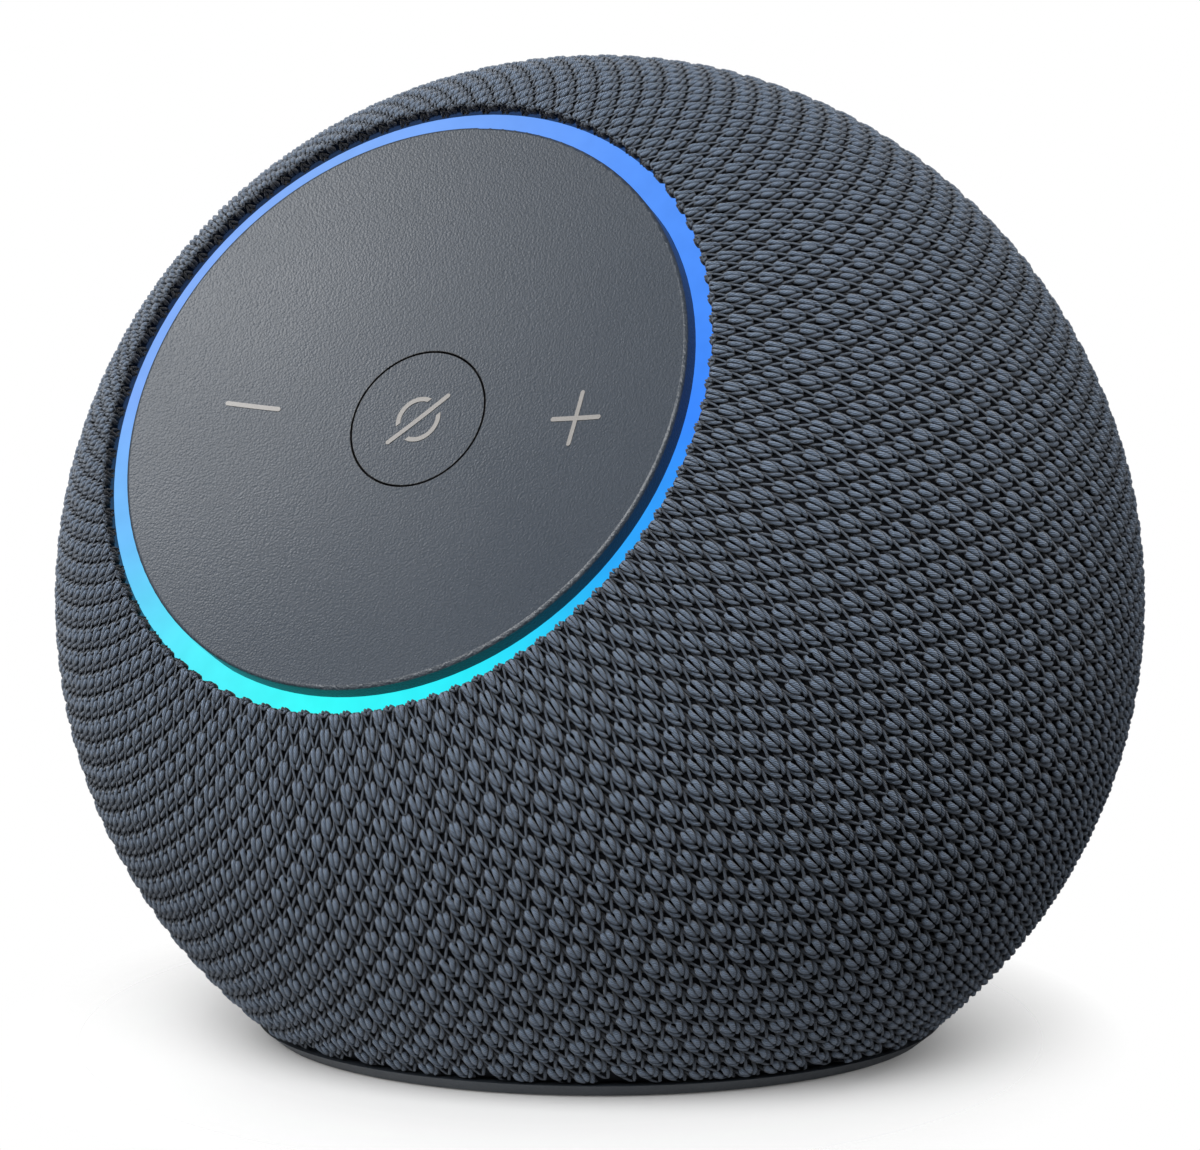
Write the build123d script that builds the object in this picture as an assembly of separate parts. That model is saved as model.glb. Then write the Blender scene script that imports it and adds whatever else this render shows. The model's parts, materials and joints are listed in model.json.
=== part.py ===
from build123d import *
import math
import os

# A ball-shaped smart home hub. It stands on the plane z = 0, with +Z up and its face towards -Y.
# The face (dished control panel, mute button and light ring) looks forward and up.
# Heights "w" and radii "r" are measured along and about the face axis, from the ball's centre.
# All sizes are in millimetres and degrees.

# The ball and how it stands
BALL_R = 54.35  # outside of the knit
CENTRE_H = 43.3  # height of the ball's centre
FACE_TILT = 30.3  # how far above level the face looks
KNIT_T = 0.9
SHELL_R = 53.4  # outside of the plastic shells, just under the knit
SHELL_T = 2.2
SHELL_IN_R = SHELL_R - SHELL_T
SPLIT_W = 14.0  # the shells part on this plane
KNIT_FLOOR_Z = 1.6  # lower edge of the knit
SHELL_FLOOR_Z = 1.8

# The control panel: a dished disc that rocks about its upright axis
PANEL_R = 29.05
PANEL_RIM_R = 28.7
PANEL_RIM_W = 43.75
PANEL_SKIRT_W = 40.7
PANEL_SKIRT_R = 27.7
PANEL_T = 1.6
DISH_SAG = 3.95
DISH_R = (PANEL_RIM_R**2 + DISH_SAG**2) / (2 * DISH_SAG)
DISH_CENTRE_W = PANEL_RIM_W - DISH_SAG + DISH_R
DISH_FLOOR_W = PANEL_RIM_W - DISH_SAG
PIVOT_W = 38.8
PIVOT_R = 0.8
ROCK_POST_R = 1.8

# The mute button in the panel's middle
BUTTON_HOLE_R = 7.08
BUTTON_R = 6.88
BUTTON_FLANGE_R = 8.0

# The raised icons
ICON_X = 17.55
ICON_HALF = 2.6
STROKE = 0.46
ICON_RISE = 0.09
ICON_DEPTH = 0.5
MUTE_RING_R = 2.1
SLASH_HALF = 3.55
SLASH_GAP = 1.9  # the break in the circle that the slash passes through

# The light ring, its parts and the board they share
OPENING_R = 31.35  # the knit's opening round the face
LIP_R = 31.9  # the knit's edge is turned in, and ends in a lip beside the light ring
LIP_LOW_W = 41.6
LIP_ROUND = 0.5
LIGHT_IN_R = 29.2
LIGHT_OUT_R = 31.3
LIGHT_TOP_W = 42.15
BOARD_R = 33.0
BOARD_LOW_W = 33.0
BOARD_TOP_W = 34.2
LED_COUNT = 24
LED_RING_R = 30.4
DOME_TOP_W = 36.3
FRAME_OUT_R = 34.5
FRAME_FLOOR_W = 30.2
BOARD_SCREW_R = 25.5  # the screws through the carrier and the board
FACE_SCREW_R = 37.2  # the screws from the frame's ears into the front shell
SHELL_SCREW_R = 45.0  # the long screws that close the ball
SHELL_SCREW_SEAT_W = 23.2

# The loudspeakers, on a baffle across the ball
BAFFLE_LOW_W = 14.5
BAFFLE_TOP_W = 17.0
BAFFLE_R = 47.4
CHAMBER_R = 42.3
CHAMBER_T = 2.2
CHAMBER_FLOOR_Z = 20.0
WOOFER_HOLE_R = 24.4
WOOFER_FLANGE_R = 28.5
WOOFER_SCREW_R = 26.4
TWEETER_Y = -37.2
LEAD_R = 0.6
WOOFER_LEAD = (-12.75, -20.6)
TERMINAL_Z = 28.7
TWEETER_R = 8.2

# The foot of the ball
BASE_LOW_Z = 0.15  # the rubber sole stands out below it
BASE_BAND_Z = 1.35
BASE_TOP_Z = 3.4
BASE_PLUG_R = 29.8
SOLE_IN_R = 22.0
SOLE_OUT_R = 31.6
SOLE_TOP_Z = 1.0
BASE_SCREW_R = 27.5
BASE_SEAT_Z = 2.2

# The main board, its parts and the power inlet at the back
MAIN_R = 31.0
MAIN_LOW_Z = 11.0
MAIN_TOP_Z = 12.6
MAIN_TAB_HALF = 6.0
MAIN_TAB_Y = 38.0
MAIN_POST_R = 26.0
INLET_HALF_X = 4.47
INLET_H = 3.26
INLET_WALL = 0.3
INLET_FRONT_Y = 39.9
INLET_L = 8.0
BEZEL_R = 13.95
BEZEL_HOLE_R = 12.5
BEZEL_OUT_R = 54.2
POCKET_HALF_X = 6.5
POCKET_LOW_Z = 9.7
POCKET_HIGH_Z = 18.7
POCKET_FLOOR_Y = 40.2
POCKET_WALL = 1.3

GAP = 0.05  # between parts that are fastened together
CLEAR_R = 1.35  # holes that a screw passes through
BOARD_HOLE_R = 1.3
PILOT_R = 0.95  # holes that a screw's thread bites into
SEAT_R = 2.5  # counterbores for screw heads
QUARTERS = (45, 135, 225, 315)
MAIN_POSTS = (20, 110, 200, 290)

os.makedirs("parts", exist_ok=True)

tilt = math.radians(FACE_TILT)
face_plane = Plane(
    origin=(0, 0, CENTRE_H),
    x_dir=(1, 0, 0),
    z_dir=(0, -math.cos(tilt), math.sin(tilt)),
)


# --- shapes used again and again ---
def drum(radius, low, high):
    return Pos(0, 0, (low + high) / 2) * Cylinder(radius, high - low)


def ring(inner, outer, low, high):
    return drum(outer, low, high) - drum(inner, low - 1, high + 1)


def block(x, y, z):
    """A box from three (low, high) pairs."""
    middle = Pos((x[0] + x[1]) / 2, (y[0] + y[1]) / 2, (z[0] + z[1]) / 2)
    return middle * Box(x[1] - x[0], y[1] - y[0], z[1] - z[0])


def below(height):
    """Everything under a height."""
    return block((-60, 60), (-60, 60), (-20, height))


def turned(*outline):
    """A solid turned about the Z axis from its (radius, height) outline."""
    corners = [(r, 0, w) for r, w in outline]
    return revolve(make_face(Polyline(*corners, close=True)), Axis.Z)


def at(radius, angle, shape):
    """The shape moved out along a direction about the Z axis, and turned with it."""
    return Rot(0, 0, angle) * Pos(radius, 0, 0) * shape


def on_face(shape):
    return face_plane.location * shape


def group(shapes):
    """Separate solids that share one node."""
    return Compound([solid for shape in shapes for solid in shape.solids()])


def screw(head_r, head_h, shank_r, shank_l):
    """A cross-head screw whose head stands on z = 0, with its shank below."""
    slot = Pos(0, 0, head_h) * Box(head_r * 1.1, 0.4, head_h)
    body = drum(head_r, 0, head_h) + drum(shank_r, -shank_l, 0)
    return body - slot - Rot(0, 0, 90) * slot


def save(name, shape):
    export_step(shape, f"parts/{name}.step")


def dish(extra=0.0):
    """The ball that hollows the panel's dish, made larger by extra."""
    return Pos(0, 0, DISH_CENTRE_W) * Sphere(DISH_R + extra)


# --- the face: panel, button, icons ---
def control_panel():
    low_w = DISH_FLOOR_W - PANEL_T
    disc = fillet(drum(PANEL_R, low_w, PANEL_RIM_W).edges().sort_by(Axis.Z)[-1], 0.34)
    skin = (disc & dish(PANEL_T)) - dish()
    skirt = (disc & ring(PANEL_SKIRT_R, PANEL_R, PANEL_SKIRT_W, PANEL_RIM_W)) - dish()
    panel = skin + skirt - drum(BUTTON_HOLE_R, low_w - 1, PANEL_RIM_W)
    for side in (-1, 1):
        post = Pos(side * ICON_X, 0, 0) * drum(ROCK_POST_R, DOME_TOP_W + GAP, PANEL_RIM_W)
        lug = block((-1.5, 1.5), sorted((side * 22.2, side * 24.1)), (37.6, PANEL_RIM_W))
        pin_y = side * 25.0
        pin = Pos(0, pin_y, PIVOT_W) * Rot(90, 0, 0) * Cylinder(PIVOT_R, 2.4)
        panel = panel + ((post + lug) - dish(PANEL_T / 2)) + pin
    return panel - minus_icon() - plus_icon()


def stroke(start, end):
    """One round-ended icon stroke between two points of the face, following the dish."""
    path = Line(start, end)
    length = path.length
    angle = math.degrees(math.atan2(end[1] - start[1], end[0] - start[0]))
    middle = Pos((start[0] + end[0]) / 2, (start[1] + end[1]) / 2, 0)
    flat = middle * Rot(0, 0, angle) * SlotOverall(length + STROKE, STROKE)
    return extrude(flat, PANEL_RIM_W)


def inlay(outline):
    """An icon's outline, kept between its depth in the panel and its rise above it."""
    return (outline & dish(ICON_DEPTH)) - dish(-ICON_RISE)


def minus_icon():
    return inlay(stroke((-ICON_X - ICON_HALF, 0), (-ICON_X + ICON_HALF, 0)))


def plus_icon():
    across = stroke((ICON_X - ICON_HALF, 0), (ICON_X + ICON_HALF, 0))
    up = stroke((ICON_X, -ICON_HALF), (ICON_X, ICON_HALF))
    return inlay(across + up)


def mute_icon():
    """A slash between two arcs of a circle, as three separate strokes."""
    half = SLASH_HALF / math.sqrt(2)
    slash = stroke((-half, -half), (half, half))
    circle = ring(MUTE_RING_R - STROKE / 2, MUTE_RING_R + STROKE / 2, 0, PANEL_RIM_W)
    gap = Rot(0, 0, 45) * Box(3 * SLASH_HALF, SLASH_GAP, 3 * PANEL_RIM_W)
    return group([inlay(slash), inlay(circle - gap)])


def mute_button():
    """A flush key with a flange below the panel and a stem down to its rubber dome."""
    key = drum(BUTTON_R, 37.2, PANEL_RIM_W)
    flange = drum(BUTTON_FLANGE_R, 37.2, 38.0)
    stem = drum(2.2, DOME_TOP_W + GAP, 38.0)
    return key + flange + stem - dish() - mute_icon()


# --- the light ring and the board below the face ---
def light_ring():
    return turned(
        (LIGHT_IN_R, 36.0),
        (LIGHT_IN_R - 1.2, 36.0),
        (LIGHT_IN_R - 1.2, 37.3),
        (LIGHT_IN_R, 37.3),
        (LIGHT_IN_R, LIGHT_TOP_W),
        (LIGHT_OUT_R, LIGHT_TOP_W),
        (LIGHT_OUT_R, 37.3),
        (LIGHT_OUT_R + 1.1, 37.3),
        (LIGHT_OUT_R + 1.1, 36.0),
    )


def led_reflector():
    """A white channel over the LEDs, with a window over each."""
    channel = ring(28.2, 32.4, BOARD_TOP_W + GAP, 35.95)
    channel = channel - ring(28.9, 31.7, BOARD_TOP_W, 35.1)
    for i in range(LED_COUNT):
        channel = channel - at(LED_RING_R, i * 360 / LED_COUNT, Pos(0, 0, 35.5) * Box(2.2, 2.6, 2))
    return channel


def leds():
    top = BOARD_TOP_W + GAP
    one = block((-0.8, 0.8), (-0.8, 0.8), (top, top + 0.7))
    return group([at(LED_RING_R, i * 360 / LED_COUNT, one) for i in range(LED_COUNT)])


def face_board():
    board = drum(BOARD_R, BOARD_LOW_W, BOARD_TOP_W)
    for angle in QUARTERS:
        board = board - at(BOARD_SCREW_R, angle, drum(BOARD_HOLE_R, 30, 40))
    return board


def panel_carrier():
    """A ring on the board, with two eyes that the panel's pins turn in."""
    carrier = ring(23.4, 27.6, BOARD_TOP_W + GAP, 35.6)
    for side in (-1, 1):
        eye = block((-1.9, 1.9), sorted((side * 24.4, side * 26.3)), (34.6, 40.2))
        bore = Pos(0, side * 25.3, PIVOT_W) * Rot(90, 0, 0) * Cylinder(PIVOT_R + 0.05, 4)
        carrier = carrier + eye - bore
    for angle in QUARTERS:
        carrier = carrier - at(BOARD_SCREW_R, angle, drum(BOARD_HOLE_R, 30, 40))
    return carrier


def keypad_mat():
    """A silicone mat with a hollow dome under the minus, the mute button and the plus."""
    low = BOARD_TOP_W + GAP
    mat = block((-22, 22), (-4.5, 4.5), (low, low + 0.5))
    for x in (-ICON_X, 0, ICON_X):
        dome = turned((0, low), (3.6, low), (3.3, low + 0.6), (2.4, DOME_TOP_W), (0, DOME_TOP_W))
        hollow = drum(2.1, low - 1, DOME_TOP_W - 0.7)
        mat = mat + Pos(x, 0, 0) * dome - Pos(x, 0, 0) * hollow
    return mat


def microphones():
    low = BOARD_TOP_W + GAP
    one = block((-1.5, 1.5), (-2, 2), (low, low + 1.0))
    return group([at(19, angle, one) for angle in (60, 120, 240, 300)])


def face_frame():
    """A cup behind the board, with four ears that are screwed to the front shell."""
    frame = ring(17, FRAME_OUT_R, FRAME_FLOOR_W, FRAME_FLOOR_W + 1.6)
    frame = frame + ring(BOARD_R + 0.3, FRAME_OUT_R, FRAME_FLOOR_W, 37.6)
    for angle in QUARTERS:
        ear = block((32, 39.6), (-3.0, 3.0), (FRAME_FLOOR_W, FRAME_FLOOR_W + 1.6))
        post = at(BOARD_SCREW_R, 0, drum(2.6, FRAME_FLOOR_W, BOARD_LOW_W - GAP))
        hole = at(FACE_SCREW_R, 0, drum(CLEAR_R, 20, 40))
        pilot = at(BOARD_SCREW_R, 0, drum(PILOT_R, 20, 40))
        frame = frame + Rot(0, 0, angle) * (ear + post) - Rot(0, 0, angle) * (hole + pilot)
    return frame


def knit_retainer():
    """The ring that holds the knit's edge, between the light ring and the front shell."""
    body = ring(LIP_R + GAP, FRAME_OUT_R, 37.7, 46)
    return body & Sphere(SHELL_R)


def face_screws():
    """Four screws into the front shell and four into the face frame."""
    ear = Rot(180, 0, 0) * screw(2.2, 1.3, 1.1, 4.8)
    board = screw(2.1, 1.0, 0.9, 5.0)
    under = Pos(0, 0, FRAME_FLOOR_W - GAP)
    over = Pos(0, 0, 35.6 + GAP)
    outer = [at(FACE_SCREW_R, angle, under * ear) for angle in QUARTERS]
    inner = [at(BOARD_SCREW_R, angle, over * board) for angle in QUARTERS]
    return group(outer + inner)


# --- the knit and the two shells under it ---
def knit_cover():
    lip = ring(OPENING_R - 1, LIP_R, LIP_LOW_W, 60) & Sphere(BALL_R)
    cover = Sphere(BALL_R) - Sphere(BALL_R - KNIT_T) + lip - drum(OPENING_R, 0, 60)
    cover = fillet(cover.edges().sort_by(Axis.Z)[-1], LIP_ROUND)
    cover = cover - drum(BEZEL_R + 0.1, -60, 0)
    return on_face(cover) - below(KNIT_FLOOR_Z)


def perforations():
    """Rings of sound holes, left out where the shell's screws go through."""
    holes = []
    for angle_off_axis in (57, 63, 69):
        drill = Rot(0, angle_off_axis, 0) * Pos(0, 0, SHELL_R) * Cylinder(1.5, 8)
        for step in range(60):
            angle = step * 6 + 3
            if abs((angle % 90) - 45) > 7:
                holes.append(Rot(0, 0, angle) * drill)
    return holes


def front_shell():
    shell = Sphere(SHELL_R) - Sphere(SHELL_IN_R)
    shell = shell - drum(FRAME_OUT_R + 0.1, 0, 60)
    shell = shell - drum(60, -60, SPLIT_W + GAP)
    for angle in QUARTERS:
        near = at(FACE_SCREW_R, angle, drum(2.3, FRAME_FLOOR_W + 1.65, 45))
        far = at(SHELL_SCREW_R, angle, drum(3.3, BAFFLE_TOP_W + GAP, 40))
        shell = shell + ((near + far) & Sphere(SHELL_R))
        shell = shell - at(FACE_SCREW_R, angle, drum(1.15, 20, 35.6))
        shell = shell - at(SHELL_SCREW_R, angle, drum(CLEAR_R, 10, 40))
        shell = shell - at(SHELL_SCREW_R, angle, drum(2.4, SHELL_SCREW_SEAT_W, 40))
    return on_face(shell - perforations())


def rear_shell():
    shell = on_face(Sphere(SHELL_R) - Sphere(SHELL_IN_R) - drum(60, SPLIT_W, 60))
    for angle in QUARTERS:
        boss = at(SHELL_SCREW_R, 0, drum(2.8, 5.5, BAFFLE_LOW_W - GAP))
        rib = block((SHELL_SCREW_R, 52.3), (-1, 1), (5.5, SPLIT_W - 0.5))
        pilot = at(SHELL_SCREW_R, 0, drum(1.25, 0, 20))
        inner = (boss + rib) & Sphere(SHELL_R - 1)
        shell = shell + on_face(Rot(0, 0, angle) * inner) - on_face(Rot(0, 0, angle) * pilot)
    for angle in QUARTERS:
        boss = at(BASE_SCREW_R, 0, drum(2.8, BASE_TOP_Z + GAP, 9.0))
        rib = block((BASE_SCREW_R, 40), (-1, 1), (BASE_TOP_Z + GAP, 9.0))
        inner = (Rot(0, 0, angle) * (boss + rib)) & (Pos(0, 0, CENTRE_H) * Sphere(SHELL_R - 1))
        shell = shell + inner - at(BASE_SCREW_R, angle, drum(PILOT_R, 0, 8))
    shell = shell - on_face(drum(BEZEL_HOLE_R, -60, 0)) - pocket_box(0.1)
    return shell - below(SHELL_FLOOR_Z)


def shell_screws():
    """Four long screws that hold the front shell and the baffle to the rear shell."""
    one = Pos(0, 0, SHELL_SCREW_SEAT_W + GAP) * screw(2.2, 1.4, 1.2, 16.5)
    return group([at(SHELL_SCREW_R, angle, one) for angle in QUARTERS])


# --- the foot ---
def base_plate():
    """The plastic base: its edge carries on the ball's curve, and it holds the main board."""
    ball = Pos(0, 0, CENTRE_H) * Sphere(BALL_R)
    band = drum(40, BASE_LOW_Z, BASE_BAND_Z) & ball
    plate = band + drum(BASE_PLUG_R, BASE_LOW_Z, BASE_TOP_Z)
    for angle in MAIN_POSTS:
        plate = plate + at(MAIN_POST_R, angle, drum(2.4, BASE_TOP_Z - 1, MAIN_LOW_Z - GAP))
        plate = plate - at(MAIN_POST_R, angle, drum(PILOT_R, 5, 20))
    for angle in QUARTERS:
        plate = plate - at(BASE_SCREW_R, angle, drum(CLEAR_R, 0, 5) + drum(SEAT_R, 0, BASE_SEAT_Z))
    return plate - ring(SOLE_IN_R, SOLE_OUT_R, BASE_LOW_Z - 1, SOLE_TOP_Z)


def rubber_sole():
    sole = ring(SOLE_IN_R + 0.1, SOLE_OUT_R - 0.1, 0, SOLE_TOP_Z - GAP)
    return fillet(sole.edges().group_by(Axis.Z)[0], 0.3)


def base_screws():
    one = Pos(0, 0, BASE_SEAT_Z - GAP) * Rot(180, 0, 0) * screw(2.2, 1.1, 0.9, 5.0)
    return group([at(BASE_SCREW_R, angle, one) for angle in QUARTERS])


# --- the main board and what is on it ---
def main_board():
    board = drum(MAIN_R, MAIN_LOW_Z, MAIN_TOP_Z)
    tab = block((-MAIN_TAB_HALF, MAIN_TAB_HALF), (25, MAIN_TAB_Y), (MAIN_LOW_Z, MAIN_TOP_Z))
    board = board + tab
    for angle in MAIN_POSTS:
        board = board - at(MAIN_POST_R, angle, drum(BOARD_HOLE_R, 5, 20))
    return board


def board_screws():
    one = Pos(0, 0, MAIN_TOP_Z + GAP) * screw(2.1, 1.0, 0.9, 5.5)
    return group([at(MAIN_POST_R, angle, one) for angle in MAIN_POSTS])


def shield_can():
    """A pressed steel can over the processor, under the board."""
    top = MAIN_LOW_Z - GAP
    can = block((-12, 12), (-10, 10), (top - 2.4, top))
    return can - block((-11.7, 11.7), (-9.7, 9.7), (top - 2.1, top + 1))


def processor():
    top = MAIN_LOW_Z - GAP
    return block((-7, 7), (-7, 7), (top - 1.2, top))


def thermal_pad():
    top = MAIN_LOW_Z - 2 * GAP - 2.4
    return block((-7, 7), (-7, 7), (top - 1.1, top))


def heat_spreader():
    """An aluminium plate on the base, with a step up to the thermal pad."""
    low = BASE_TOP_Z + GAP
    step_top = MAIN_LOW_Z - 3 * GAP - 3.5
    plate = block((-20, 20), (-14.5, 14.5), (low, low + 1.6))
    for x in (-16, -12, 12, 16):
        plate = plate + block((x - 0.6, x + 0.6), (-13, 13), (low, step_top - 1))
    return plate + block((-8, 8), (-8, 8), (low, step_top))


def capacitors():
    can = fillet(drum(3.15, MAIN_TOP_Z + GAP, 18.4).edges().sort_by(Axis.Z)[-1], 0.5)
    return group([Pos(x, y, 0) * can for x, y in ((-14, 12), (-20.5, 8), (14, 14))])


def inductors():
    low = MAIN_TOP_Z + GAP
    coil = fillet(block((-3, 3), (-3, 3), (low, low + 3)).edges().filter_by(Axis.Z), 0.8)
    return group([Pos(x, y, 0) * coil for x, y in ((5, 4), (13, 4), (5, -5), (13, -5))])


def chips():
    """The amplifier, the radio module and the memory, on the board's top side."""
    low = MAIN_TOP_Z + GAP
    amplifier = block((-4, 2), (-12, -6), (low, low + 1))
    radio = block((-16, -4), (-4, 6), (low, low + 1.8))
    memory = block((8, 16), (-16, -11), (low, low + 1))
    return group([amplifier, radio, memory])


def board_connectors():
    """Sockets for the ribbon, the woofer leads and the tweeter leads."""
    low = MAIN_TOP_Z + GAP
    ribbon = on_face(Rot(0, 0, -60) * block((38.4, 42.2), (-5.5, 5.5), (-4, 12)))
    ribbon = ribbon & drum(MAIN_R, low, low + 4)
    woofer = block((-16.5, -9), (-24, -17), (low, low + 2.2))
    tweeter = block((-3.6, 3.6), (-30.2, -24.4), (low, low + 1.7))
    return group([ribbon, woofer, tweeter])


def inlet_shell():
    """The steel sleeve of the power inlet, with round ends."""
    outer = RectangleRounded(2 * INLET_HALF_X, INLET_H, INLET_H / 2 - 0.01)
    inner = offset(outer, -INLET_WALL)
    middle_z = MAIN_TOP_Z + GAP + INLET_H / 2
    back = Plane(origin=(0, INLET_FRONT_Y, middle_z), x_dir=(1, 0, 0), z_dir=(0, -1, 0))
    sleeve = extrude(back * outer, INLET_L) - extrude(back * inner, INLET_L - 0.6)
    return sleeve


def inlet_tongue():
    """The flat tongue with the contacts, inside the sleeve."""
    middle_z = MAIN_TOP_Z + GAP + INLET_H / 2
    back_y = INLET_FRONT_Y - INLET_L + 0.65
    tongue = block((-3.3, 3.3), (back_y, INLET_FRONT_Y - 0.8), (middle_z - 0.35, middle_z + 0.35))
    root = block((-3.4, 3.4), (back_y, back_y + 1.6), (middle_z - 1.2, middle_z + 1.2))
    return tongue + root


def pocket_box(extra=0.0):
    """The outside of the bezel's level pocket, made larger by extra."""
    wall = POCKET_WALL + extra
    x = (-POCKET_HALF_X - wall, POCKET_HALF_X + wall)
    z = (POCKET_LOW_Z - wall, POCKET_HIGH_Z + wall)
    return block(x, (POCKET_FLOOR_Y - 1.5 - extra, 60), z)


def rear_bezel():
    """A round cover at the back, with a level pocket round the power inlet."""
    cap = (drum(BEZEL_R, -60, -30) & Sphere(BEZEL_OUT_R)) - Sphere(SHELL_R + GAP)
    plug = (drum(BEZEL_HOLE_R - 0.1, -60, -30) & Sphere(BEZEL_OUT_R)) - Sphere(SHELL_IN_R - 0.7)
    cover = on_face(cap + plug)
    box = pocket_box() & (Pos(0, 0, CENTRE_H) * Sphere(BEZEL_OUT_R))
    width = 2 * POCKET_HALF_X
    height = POCKET_HIGH_Z - POCKET_LOW_Z
    middle_z = (POCKET_LOW_Z + POCKET_HIGH_Z) / 2
    mouth = Plane(origin=(0, POCKET_FLOOR_Y, middle_z), x_dir=(1, 0, 0), z_dir=(0, 1, 0))
    pocket = extrude(mouth * RectangleRounded(width, height, 3.0), 30)
    inlet_z = MAIN_TOP_Z + GAP + INLET_H / 2
    slot_plane = Plane(origin=(0, 30, inlet_z), x_dir=(1, 0, 0), z_dir=(0, 1, 0))
    slot = RectangleRounded(2 * INLET_HALF_X + 0.3, INLET_H + 0.3, INLET_H / 2)
    return cover + box - pocket - extrude(slot_plane * slot, 15)


def antennas():
    """Two flat aerials on pads, at the sides of the speaker chamber."""
    one = block((CHAMBER_R + 0.1, CHAMBER_R + 0.9), (-3, 15), (CENTRE_H - 4, CENTRE_H + 4))
    return group([one, mirror(one, Plane.YZ)])


# --- the loudspeakers ---
def baffle():
    """The board across the ball that carries both loudspeakers."""
    board = drum(BAFFLE_R, BAFFLE_LOW_W, BAFFLE_TOP_W) - drum(WOOFER_HOLE_R, 10, 20)
    for angle in QUARTERS:
        board = board - at(SHELL_SCREW_R, angle, drum(CLEAR_R, 10, 20))
        board = board - at(WOOFER_SCREW_R, angle, drum(PILOT_R, 10, 20))
    ribbon_gap = Rot(0, 0, -60) * block((43.4, 50), (-5.5, 5.5), (10, 20))
    return board - ribbon_gap - Pos(0, TWEETER_Y, 0) * drum(2.6, 10, 20)


def speaker_chamber():
    """The sealed box behind the woofer, rounded like the ball and flat below."""
    outer = on_face(Sphere(CHAMBER_R) - drum(60, BAFFLE_LOW_W - GAP, 60)) - below(CHAMBER_FLOOR_Z)
    inner = on_face(Sphere(CHAMBER_R - CHAMBER_T)) - below(CHAMBER_FLOOR_Z + CHAMBER_T)
    lead_hole = Pos(WOOFER_LEAD[0], WOOFER_LEAD[1], 0) * drum(2.6, 10, 30)
    return outer - inner - lead_hole


def woofer_gasket():
    gasket = ring(WOOFER_HOLE_R + 0.2, WOOFER_FLANGE_R, BAFFLE_TOP_W + GAP, BAFFLE_TOP_W + 0.5)
    for angle in QUARTERS:
        gasket = gasket - at(WOOFER_SCREW_R, angle, drum(1.2, 10, 20))
    return gasket


def woofer_basket():
    """The steel frame, with windows in its sloping wall."""
    seat = BAFFLE_TOP_W + 0.55
    frame = turned(
        (23.0, seat + 1.3),
        (WOOFER_FLANGE_R, seat + 1.3),
        (WOOFER_FLANGE_R, seat),
        (24.1, seat),
        (24.1, 10.2),
        (17.0, 3.5),
        (7.3, 3.5),
        (7.3, 4.9),
        (13.0, 4.9),
        (13.0, 6.3),
        (16.2, 6.3),
        (16.2, 5.4),
        (22.9, 11.2),
        (22.9, seat),
    )
    for angle in (0, 90, 180, 270):
        frame = frame - Rot(0, 0, angle) * block((17.5, 26), (-7, 7), (4.0, 13.5))
        frame = frame - at(WOOFER_SCREW_R, angle + 45, drum(1.2, 10, 22))
    return frame


def woofer_magnet():
    return fillet(ring(7.3, 15.5, -5.0, 3.45).edges().group_by(Axis.Z)[0][-1:], 0.6)


def woofer_yoke():
    """The back plate with its pole, which stands up inside the voice coil."""
    return drum(15.0, -7.6, -5.05) + drum(5.3, -7.0, 4.9)


def voice_coil():
    return ring(5.9, 6.3, -2.2, 7.9)


def woofer_cone():
    return turned((6.35, 7.2), (19.7, 15.5), (19.7, 16.1), (6.35, 7.9))


def dust_cap():
    cap = Pos(0, 0, -1.4) * (Sphere(13.0) - Sphere(12.5))
    return cap & drum(7.2, 9.45, 14)


def woofer_surround():
    """The rubber half-roll between the cone and the basket."""
    roll = Circle(1.6) - Circle(1.2) - Pos(0, -2) * Rectangle(8, 4)
    return revolve(Plane.XZ * Pos(21.2, 16.15) * roll, Axis.Z)


def woofer_spider():
    """The corrugated cloth that centres the voice coil."""
    crests = 7
    step = 1.1
    upper = [(6.4 + i * step, 6.9 + 0.35 * (i % 2)) for i in range(crests)]
    lower = [(r, w - 0.35) for r, w in reversed(upper)]
    return turned(*upper, *lower)


def woofer_screws():
    one = Pos(0, 0, BAFFLE_TOP_W + 1.9) * screw(1.9, 1.1, 0.9, 4.2)
    return group([at(WOOFER_SCREW_R, angle, one) for angle in QUARTERS])


def tweeter_housing():
    low = BAFFLE_TOP_W + GAP
    cup = ring(7.0, TWEETER_R, low, 22.3) + ring(2.6, TWEETER_R, low, low + 0.8)
    return Pos(0, TWEETER_Y, 0) * (cup + ring(5.9, TWEETER_R, 21.5, 22.3))


def tweeter_magnet():
    return Pos(0, TWEETER_Y, 0) * ring(2.6, 6.6, 17.95, 20.1)


def tweeter_dome():
    dome = Pos(0, 0, 13.9) * (Sphere(8.6) - Sphere(8.25))
    return Pos(0, TWEETER_Y, 0) * (dome & drum(5.5, 20.55, 24))


# --- leads and the ribbon ---
def ribbon_cable():
    """The flat cable from the face board, past the baffle's edge, to the main board."""
    route = [(14, 32.9), (14, 26.5), (40, 25.0), (45.2, 19.5), (45.2, 12.0), (42.7, 6.6)]
    path = FilletPolyline(*route, radius=1.5)
    strip = extrude(trace(path, line_width=0.35), 4, both=True)
    return on_face(Rot(0, 0, -60) * Rot(90, 0, 0) * strip)


def wire(route, x):
    """A round wire along a route of (y, z) points, in the upright plane at x."""
    points = [(x, y, z) for y, z in route]
    path = FilletPolyline(*points, radius=2.0)
    section = Plane(origin=path @ 0, z_dir=path % 0) * Circle(LEAD_R)
    return sweep(section, path)


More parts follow.
